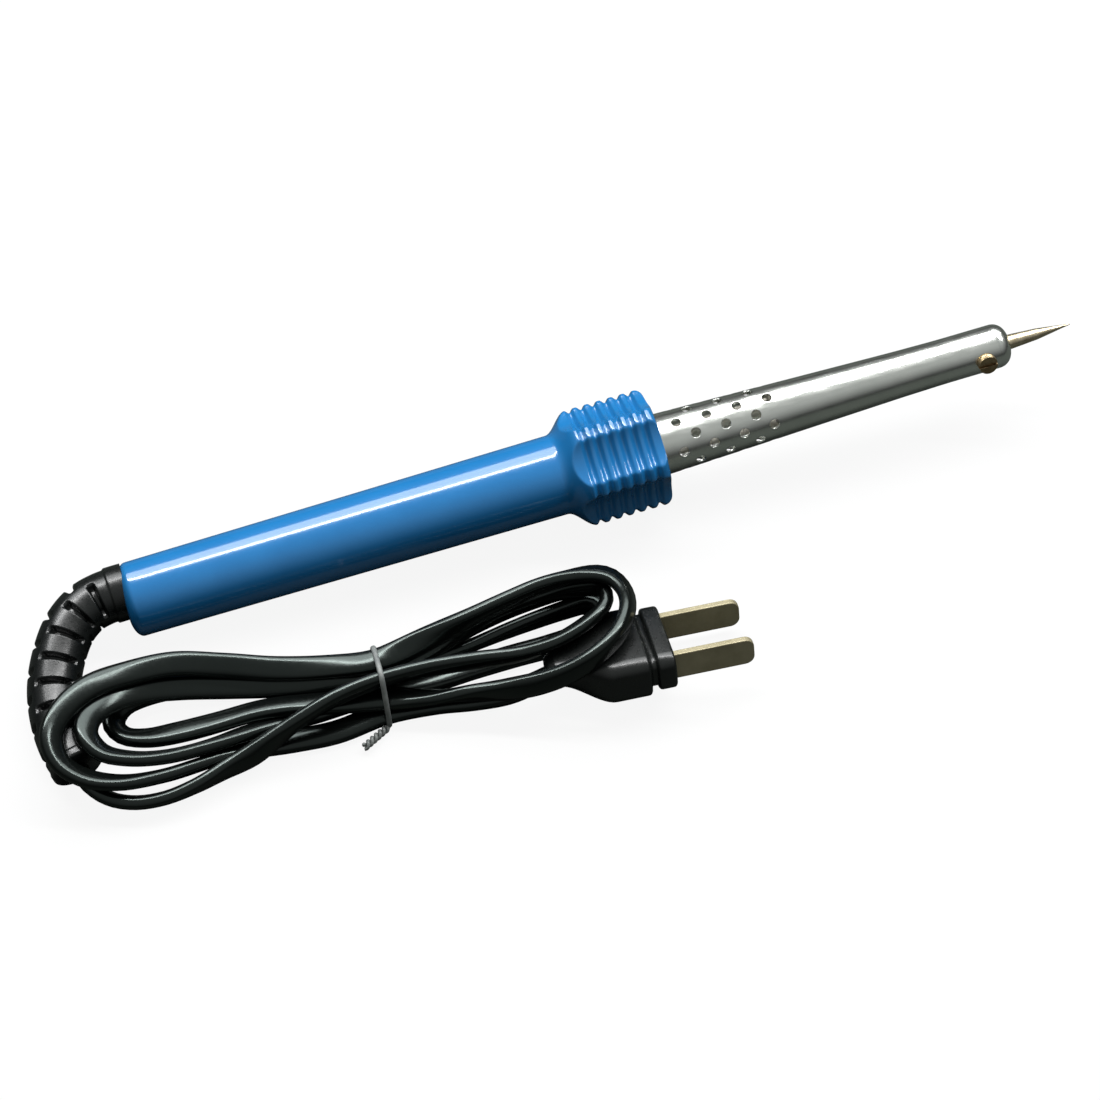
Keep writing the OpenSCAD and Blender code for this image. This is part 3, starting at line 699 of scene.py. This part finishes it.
def make_tie(materials, line):
    """A grey wire drawn round the bundle, its two ends twisted together on the near side."""
    near = np.abs(line[:, 0] - TIE_STATION) < TIE_REACH
    outline = hull_around(cord_rings(line)[near].reshape(-1, 3)[:, 1:])
    outline = np.vstack([outline, outline[:1]])
    closed = resampled(np.column_stack([outline, np.zeros(len(outline))]), 0.5)[:-1]
    middle = closed.mean(axis=0)
    for _ in range(6):
        closed = 0.5 * closed + 0.25 * (np.roll(closed, 1, axis=0) + np.roll(closed, -1, axis=0))
    closed = closed + 0.45 * unit(closed - middle)
    closed[:, 1] = np.maximum(closed[:, 1], WIRE_HEIGHT)
    loop = np.column_stack([TIE_STATION + 0.06 * (closed[:, 0] - middle[0]), closed[:, 0], closed[:, 1]])
    rings = tube_rings(loop, 12, TIE_WIDTH, TIE_THICKNESS, closed=True)
    pieces = [rings_piece("wire_tie", rings * MM, materials["tie_wire"], closed=True,
                          replaces=("cord_tie",), slot="tie_wire")]
    start = loop[np.argmin(loop[:, 1] + 0.35 * loop[:, 2])]
    sideways = unit(np.cross(TWIST_HEADING, [0, 0, 1]))
    upward = np.cross(sideways, TWIST_HEADING)
    t = np.linspace(0.0, 1.0, 60)
    swirl = TWIST_RADIUS * smooth_step(0.0, 0.15, t)
    for number, phase in ((1, 0.0), (2, math.pi)):
        turn = 2 * math.pi * TWIST_TURNS * t + phase
        wire = (start + TWIST_LENGTH * t[:, None] * TWIST_HEADING
                + (swirl * np.cos(turn))[:, None] * sideways + (swirl * np.sin(turn))[:, None] * upward)
        wire[:, 2] = np.maximum(wire[:, 2], WIRE_HEIGHT)
        rings = tube_rings(wire, 10, TWIST_WIRE, TWIST_WIRE)
        pieces.append(rings_piece("tie_end_%d" % number, rings * MM, materials["tie_wire"],
                                  slot="tie_wire"))
    return pieces


# --- Handle, barrel and metal parts ---

GRIP_RADIUS = 8.0
GRIP_WIDENING = 0.7
# The rounded edge of the back end: its length along the axis, and its height
BACK_ROUND = (2.2, 4.2)
CONE_START = 94.8
CONE_END = 100.6
COLLAR_RADIUS = 12.7
COLLAR_FILLET = 1.6
HANDLE_LENGTH = 117.2
SCOOP_COUNT = 6
SCOOP_RADIUS = 12.0
SCOOP_DEPTH = 2.1
SCOOP_BLEND = 0.3
SCOOPS_FROM = 92
GROOVE_COUNT = 6
GROOVE_PITCH = 2.65
GROOVE_START = 101.2
GROOVE_HALF_WIDTH = 1.12
GROOVE_DEPTH = 0.85
CORD_HOLE_RADIUS = 3.4
# Inside, from the front: the flange's recess, the barrel's socket, the wiring space, the cord's hole
HANDLE_INSIDE = [
    (HANDLE_LENGTH, 10.2), (115.6, 10.2), (115.6, 6.8), (106, 6.8), (106, 6.2), (4, 6.2),
    (4, CORD_HOLE_RADIUS),
]


def grip_radius(station):
    length, _ = BACK_ROUND
    return GRIP_RADIUS + GRIP_WIDENING * (station - length) / (CONE_START - length)


def handle_outline():
    """[station, radius] points of the moulding's outside, in mm."""
    length, height = BACK_ROUND
    outline = arc(length, GRIP_RADIUS - height, -length, height, 0, 90, 12)
    outline += [(s, grip_radius(s)) for s in np.linspace(4, 92.5, 40)]
    for s in np.arange(93.0, 115.6, 0.16):
        grip = grip_radius(s)
        share = min(max((s - CONE_START) / (CONE_END - CONE_START), 0), 1)
        outline.append((s, grip + (COLLAR_RADIUS - grip) * (0.5 - 0.5 * math.cos(math.pi * share))))
    outline += arc(HANDLE_LENGTH - COLLAR_FILLET, COLLAR_RADIUS - COLLAR_FILLET, COLLAR_FILLET,
                   COLLAR_FILLET, 90, 0, 10)
    return outline


def soft_minimum(a, b, blend):
    h = np.clip(0.5 + 0.5 * (b - a) / blend, 0, 1)
    return b + (a - b) * h - blend * h * (1 - h)


def scooped(station, radius, angles):
    """Radius round the collar after the finger scoops and their grooves are cut."""
    step = 2 * math.pi / SCOOP_COUNT
    off = (angles % step) - step / 2
    centre = COLLAR_RADIUS - SCOOP_DEPTH + SCOOP_RADIUS
    reach = np.clip(SCOOP_RADIUS ** 2 - (centre * np.sin(off)) ** 2, 0, None)
    hollow = centre * np.cos(off) - np.sqrt(reach)
    hollow[np.abs(off) > math.asin(SCOOP_RADIUS / centre)] = 3 * COLLAR_RADIUS
    cut = soft_minimum(np.full_like(hollow, radius), hollow, SCOOP_BLEND)
    height = cut * np.cos(off) - (COLLAR_RADIUS - SCOOP_DEPTH)
    in_scoop = 1 - smooth_step(0.55 * SCOOP_DEPTH, 0.95 * SCOOP_DEPTH, height)
    for i in range(GROOVE_COUNT):
        distance = abs(station - (GROOVE_START + i * GROOVE_PITCH)) / GROOVE_HALF_WIDTH
        if distance < 1:
            cut = cut - GROOVE_DEPTH * (0.5 + 0.5 * math.cos(math.pi * distance)) * in_scoop
    return cut


def make_handle(materials):
    """The hollow moulding: grip, cone and scooped collar outside, then back through its inside."""
    around = 288
    angles = np.linspace(0.0, 2 * math.pi, around, endpoint=False)
    spokes = np.array([radial(a) for a in angles])
    rings = []
    for station, radius in [(0.0, CORD_HOLE_RADIUS)] + handle_outline():
        if station > SCOOPS_FROM:
            reach = scooped(station, radius, angles)
        else:
            reach = np.full(around, radius)
        rings.append(on_axis(station) + MM * reach[:, None] * spokes)
    for station, radius in HANDLE_INSIDE:
        rings.append(on_axis(station) + MM * radius * spokes)
    handle = rings_piece("handle_moulding", np.array(rings), materials["handle_plastic"], closed=True,
                         replaces=("handle",), slot="handle_plastic")
    sharpen(handle, 50)


BARREL_BACK = 106.2
# Stations and radii of the barrel's taper
BARREL_TAPER = ([106, 117.2, 172, 182, 194.5], [6.75, 6.75, 5.05, 4.85, 4.85])
BARREL_WALL = 0.5
NOSE_START = 194.5
NOSE_ROUND = 2.9
NOSE_CENTRE = 1.95
MOUTH = (197.4, 1.85)
# Width of a ring of quads that the subdivision's smoothing at the start of the nose depends on
SEAM_WIDTH = 0.0001
# Vent holes are in every other cell of a grid of columns along the barrel and rows round it
VENT_START = 121.9
VENT_PITCH = 3.4
VENT_RADIUS = 1.08
VENT_COLUMNS = 7
VENT_ROWS = 12
CELL_STEPS = 4
CELL_TURN = 2 * math.pi / VENT_ROWS
# Rings of quads from a cell's edge onto its hole, as multiples of the hole's radius
HOLE_RINGS = (1.28, 1.12, 1.0)


def barrel_radius(station):
    return float(np.interp(station, *BARREL_TAPER))


def cell_edge():
    """The grid points round the edge of a cell, in order."""
    n = CELL_STEPS
    return ([(i, 0) for i in range(n)] + [(n, i) for i in range(n)]
            + [(n - i, n) for i in range(n)] + [(0, n - i) for i in range(n)])


def make_barrel(materials):
    """A thin tube with a rounded nose and rows of punched holes, as quads that follow the holes."""
    points, faces, lookup = [], [], {}
    step = CELL_TURN / CELL_STEPS
    square = cell_edge()

    def vertex(station, angle, radius=None):
        key = (round(station, 4), round(angle % (2 * math.pi), 5) % round(2 * math.pi, 5),
               round(radius or 0.0, 4))
        if key not in lookup:
            lookup[key] = len(points)
            r = barrel_radius(station) if radius is None else radius
            points.append(on_axis(station) + MM * r * radial(angle))
        return lookup[key]

    def plain(stations, radii=None):
        """Quads right round the tube through a list of stations."""
        for i in range(len(stations) - 1):
            for j in range(VENT_ROWS * CELL_STEPS):
                a0, a1 = (j - CELL_STEPS / 2) * step, (j + 1 - CELL_STEPS / 2) * step
                r0, r1 = (None, None) if radii is None else (radii[i], radii[i + 1])
                faces.append((vertex(stations[i], a0, r0), vertex(stations[i], a1, r0),
                              vertex(stations[i + 1], a1, r1), vertex(stations[i + 1], a0, r1)))

    def cell_vertex(s0, a0, u, v):
        return vertex(s0 + u * VENT_PITCH / CELL_STEPS, a0 + v * step)

    def whole_cell(s0, a0):
        for u in range(CELL_STEPS):
            for v in range(CELL_STEPS):
                corners = [(u, v), (u + 1, v), (u + 1, v + 1), (u, v + 1)]
                faces.append(tuple(cell_vertex(s0, a0, p, q) for p, q in corners))

    def holed_cell(s0, a0, outer):
        middle_s, middle_a = s0 + VENT_PITCH / 2, a0 + CELL_TURN / 2
        arc_scale = barrel_radius(middle_s)
        for size in HOLE_RINGS:
            ring = []
            for u, v in square:
                angle = math.atan2(v - CELL_STEPS / 2, u - CELL_STEPS / 2)
                ring.append(vertex(middle_s + size * VENT_RADIUS * math.cos(angle),
                                   middle_a + size * VENT_RADIUS * math.sin(angle) / arc_scale))
            for i in range(len(square)):
                k = (i + 1) % len(square)
                faces.append((outer[i], outer[k], ring[k], ring[i]))
            outer = ring

    holes_from = VENT_START - VENT_PITCH / 2
    holes_to = holes_from + VENT_COLUMNS * VENT_PITCH
    plain(list(np.linspace(BARREL_BACK, holes_from, 8)))
    for column in range(VENT_COLUMNS):
        for row in range(VENT_ROWS):
            s0, a0 = holes_from + column * VENT_PITCH, (row - 0.5) * CELL_TURN
            edge = [cell_vertex(s0, a0, u, v) for u, v in square]
            if (column + row) % 2:
                whole_cell(s0, a0)
            else:
                holed_cell(s0, a0, edge)
    plain([holes_to] + list(np.linspace(holes_to + 2, NOSE_START, 22)))
    nose = arc(NOSE_START, NOSE_CENTRE, NOSE_ROUND, NOSE_ROUND, 90, 0, 9) + [MOUTH]
    plain([NOSE_START - SEAM_WIDTH, NOSE_START])
    plain([p[0] for p in nose], [None] + [p[1] for p in nose[1:]])
    barrel = add_piece("barrel_tube", points, faces, materials["barrel_chrome"], replaces=("barrel",),
                       slot="barrel_chrome")
    wall = barrel.modifiers.new("wall", "SOLIDIFY")
    wall.thickness = BARREL_WALL * MM
    wall.offset = -1.0
    fine = barrel.modifiers.new("fine", "SUBSURF")
    fine.levels = fine.render_levels = 2


def softened(name, node_name, width, material, body="iron"):
    """A copy of a CAD node with its edges broken by a small bevel, in place of the node."""
    piece = bpy.data.objects.new(name, frame["nodes"][node_name].data.copy())
    bpy.context.scene.collection.objects.link(piece)
    mesh = piece.data
    work = bmesh.new()
    work.from_mesh(mesh)
    bmesh.ops.remove_doubles(work, verts=work.verts, dist=1e-6)
    bmesh.ops.dissolve_limit(work, angle_limit=math.radians(0.5), verts=work.verts, edges=work.edges)
    work.to_mesh(mesh)
    work.free()
    if mesh.attributes.get("custom_normal"):
        mesh.attributes.remove(mesh.attributes["custom_normal"])
    mesh.shade_smooth()
    mesh.materials.clear()
    mesh.materials.append(material)
    edges = piece.modifiers.new("edges", "BEVEL")
    edges.width = width * MM
    edges.segments = 3
    edges.limit_method = "ANGLE"
    edges.angle_limit = math.radians(40)
    edges.harden_normals = True
    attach(piece, body)
    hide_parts(node_name)
    return piece


SHANK_RADIUS = 1.7
NECK_RADIUS = 1.62
NECK_START = 198.2
NECK_LENGTH = 6.4
NECK_NARROWING = 0.42
# The plated point, to its needle end
POINT_OUTLINE = [
    (204.6, 1.16), (206, 0.97), (208, 0.68), (210, 0.38), (211.4, 0.2), (211.85, 0.11), (212, 0.02),
]


def make_bit(materials):
    """Plated shank that tapers to a needle point."""
    outline = [(149.4, 0.02), (149.4, 1.5)]
    outline += [(s, SHANK_RADIUS) for s in (149.8, 180, 196.9)] + [(197.9, NECK_RADIUS)]
    outline += [(s, NECK_RADIUS - NECK_NARROWING * (s - NECK_START) / NECK_LENGTH)
                for s in (NECK_START, 200, 202, 204.2)]
    bit = rings_piece("plated_bit", turned_rings(outline + POINT_OUTLINE, 48), materials["bit_plating"],
                      body="bit", replaces=("soldering_bit",), slot="bit_plating")
    sharpen(bit, 35)


# --- Stage ---

FLOOR_SIZE = 3.0
# Share of the floor's look that is its own light, and what reflections and bounced light meet
FLOOR_GLOW = 0.93
FLOOR_DIM = (0.045, 0.05, 0.045, 1.0)


def make_stage():
    """A pale floor. The camera sees it lit mostly by itself, so that it stays white with a faint
    shadow. All other rays meet a dark matt surface, so that it throws little light back up."""
    material, tree, principled = shader("floor_paper", Roughness=0.85)
    tree.links.new(ramp(tree, noise(tree, 40.0), [(0.3, (0.86, 0.86, 0.86)), (0.7, (0.89, 0.89, 0.89))]),
                   principled.inputs["Base Color"])
    dim = node(tree, "ShaderNodeBsdfDiffuse")
    dim.inputs["Color"].default_value = FLOOR_DIM
    seen = node(tree, "ShaderNodeLightPath")
    mix = node(tree, "ShaderNodeMixShader")
    glow = node(tree, "ShaderNodeEmission")
    glow.inputs["Color"].default_value = (0.97, 0.97, 0.97, 1.0)
    lit = node(tree, "ShaderNodeMixShader")
    lit.inputs[0].default_value = FLOOR_GLOW
    tree.links.new(principled.outputs["BSDF"], lit.inputs[1])
    tree.links.new(glow.outputs["Emission"], lit.inputs[2])
    tree.links.new(seen.outputs["Is Camera Ray"], mix.inputs[0])
    tree.links.new(dim.outputs["BSDF"], mix.inputs[1])
    tree.links.new(lit.outputs["Shader"], mix.inputs[2])
    tree.links.new(mix.outputs["Shader"], tree.nodes["Material Output"].inputs["Surface"])
    mesh = bpy.data.meshes.new("floor")
    mesh.from_pydata([(x * FLOOR_SIZE, y * FLOOR_SIZE, 0) for x, y in ((-1, -1), (1, -1), (1, 1), (-1, 1))],
                     [], [(0, 1, 2, 3)])
    floor = bpy.data.objects.new("floor", mesh)
    mesh.materials.append(material)
    bpy.context.scene.collection.objects.link(floor)


def add_area_light(name, location, aim, size, power, colour=(1, 1, 1)):
    data = bpy.data.lights.new(name, "AREA")
    data.shape = "RECTANGLE"
    data.size, data.size_y = size
    data.energy = power
    data.color = colour
    light = bpy.data.objects.new(name, data)
    light.location = location
    direction = Vector(location) - Vector(aim)
    light.rotation_euler = direction.to_track_quat("Z", "Y").to_euler()
    bpy.context.scene.collection.objects.link(light)


def overhead(degrees, distance, x=0.0):
    """A place above the object, tipped back from straight up by an angle."""
    return (x, distance * math.sin(math.radians(degrees)), distance * math.cos(math.radians(degrees)))


def make_lights():
    """A world that is dim at the horizon and brighter overhead, a narrow strip and a softbox."""
    world = bpy.data.worlds.new("studio")
    world.use_nodes = True
    tree = world.node_tree
    tree.nodes["Background"].inputs["Color"].default_value = (0.92, 0.96, 0.94, 1.0)
    direction = node(tree, "ShaderNodeTexCoord")
    parts = node(tree, "ShaderNodeSeparateXYZ")
    tree.links.new(direction.outputs["Generated"], parts.inputs["Vector"])
    height = node(tree, "ShaderNodeMapRange")
    for socket, value in (("From Min", 0.1), ("From Max", 0.8), ("To Min", 0.04), ("To Max", 0.42)):
        height.inputs[socket].default_value = value
    tree.links.new(parts.outputs["Z"], height.inputs["Value"])
    tree.links.new(height.outputs["Result"], tree.nodes["Background"].inputs["Strength"])
    bpy.context.scene.world = world
    add_area_light("strip", overhead(20, 1.0, 0.15), (0, 0, 0), (1.8, 0.10), 16.0)
    add_area_light("softbox", overhead(38, 1.1, 0.15), (0, 0, 0), (1.8, 0.50), 16.0, (0.97, 0.99, 1.0))
    bpy.context.scene.view_settings.view_transform = "Standard"


def dress_nodes(materials):
    """Gives each CAD node the material of its slot in the record."""
    for part in frame["record"]["subparts"]:
        mesh = frame["nodes"][part["node"]].data
        mesh.materials.clear()
        mesh.materials.append(materials[part["material_slot"]])


make_camera()
MATERIALS = make_materials()
hank, hank_line = make_hank(MATERIALS)
plug = make_plug(MATERIALS)
relief = make_relief(MATERIALS)
tie_parts = make_tie(MATERIALS, hank_line)
blades = softened("plug_pins", "plug_blades", 0.22, MATERIALS["blade_metal"])
make_handle(MATERIALS)
make_barrel(MATERIALS)
make_bit(MATERIALS)
screw = softened("bit_screw", "set_screw", 0.18, MATERIALS["brass_screw"], body="screw")
dress_nodes(MATERIALS)
make_stage()
make_lights()
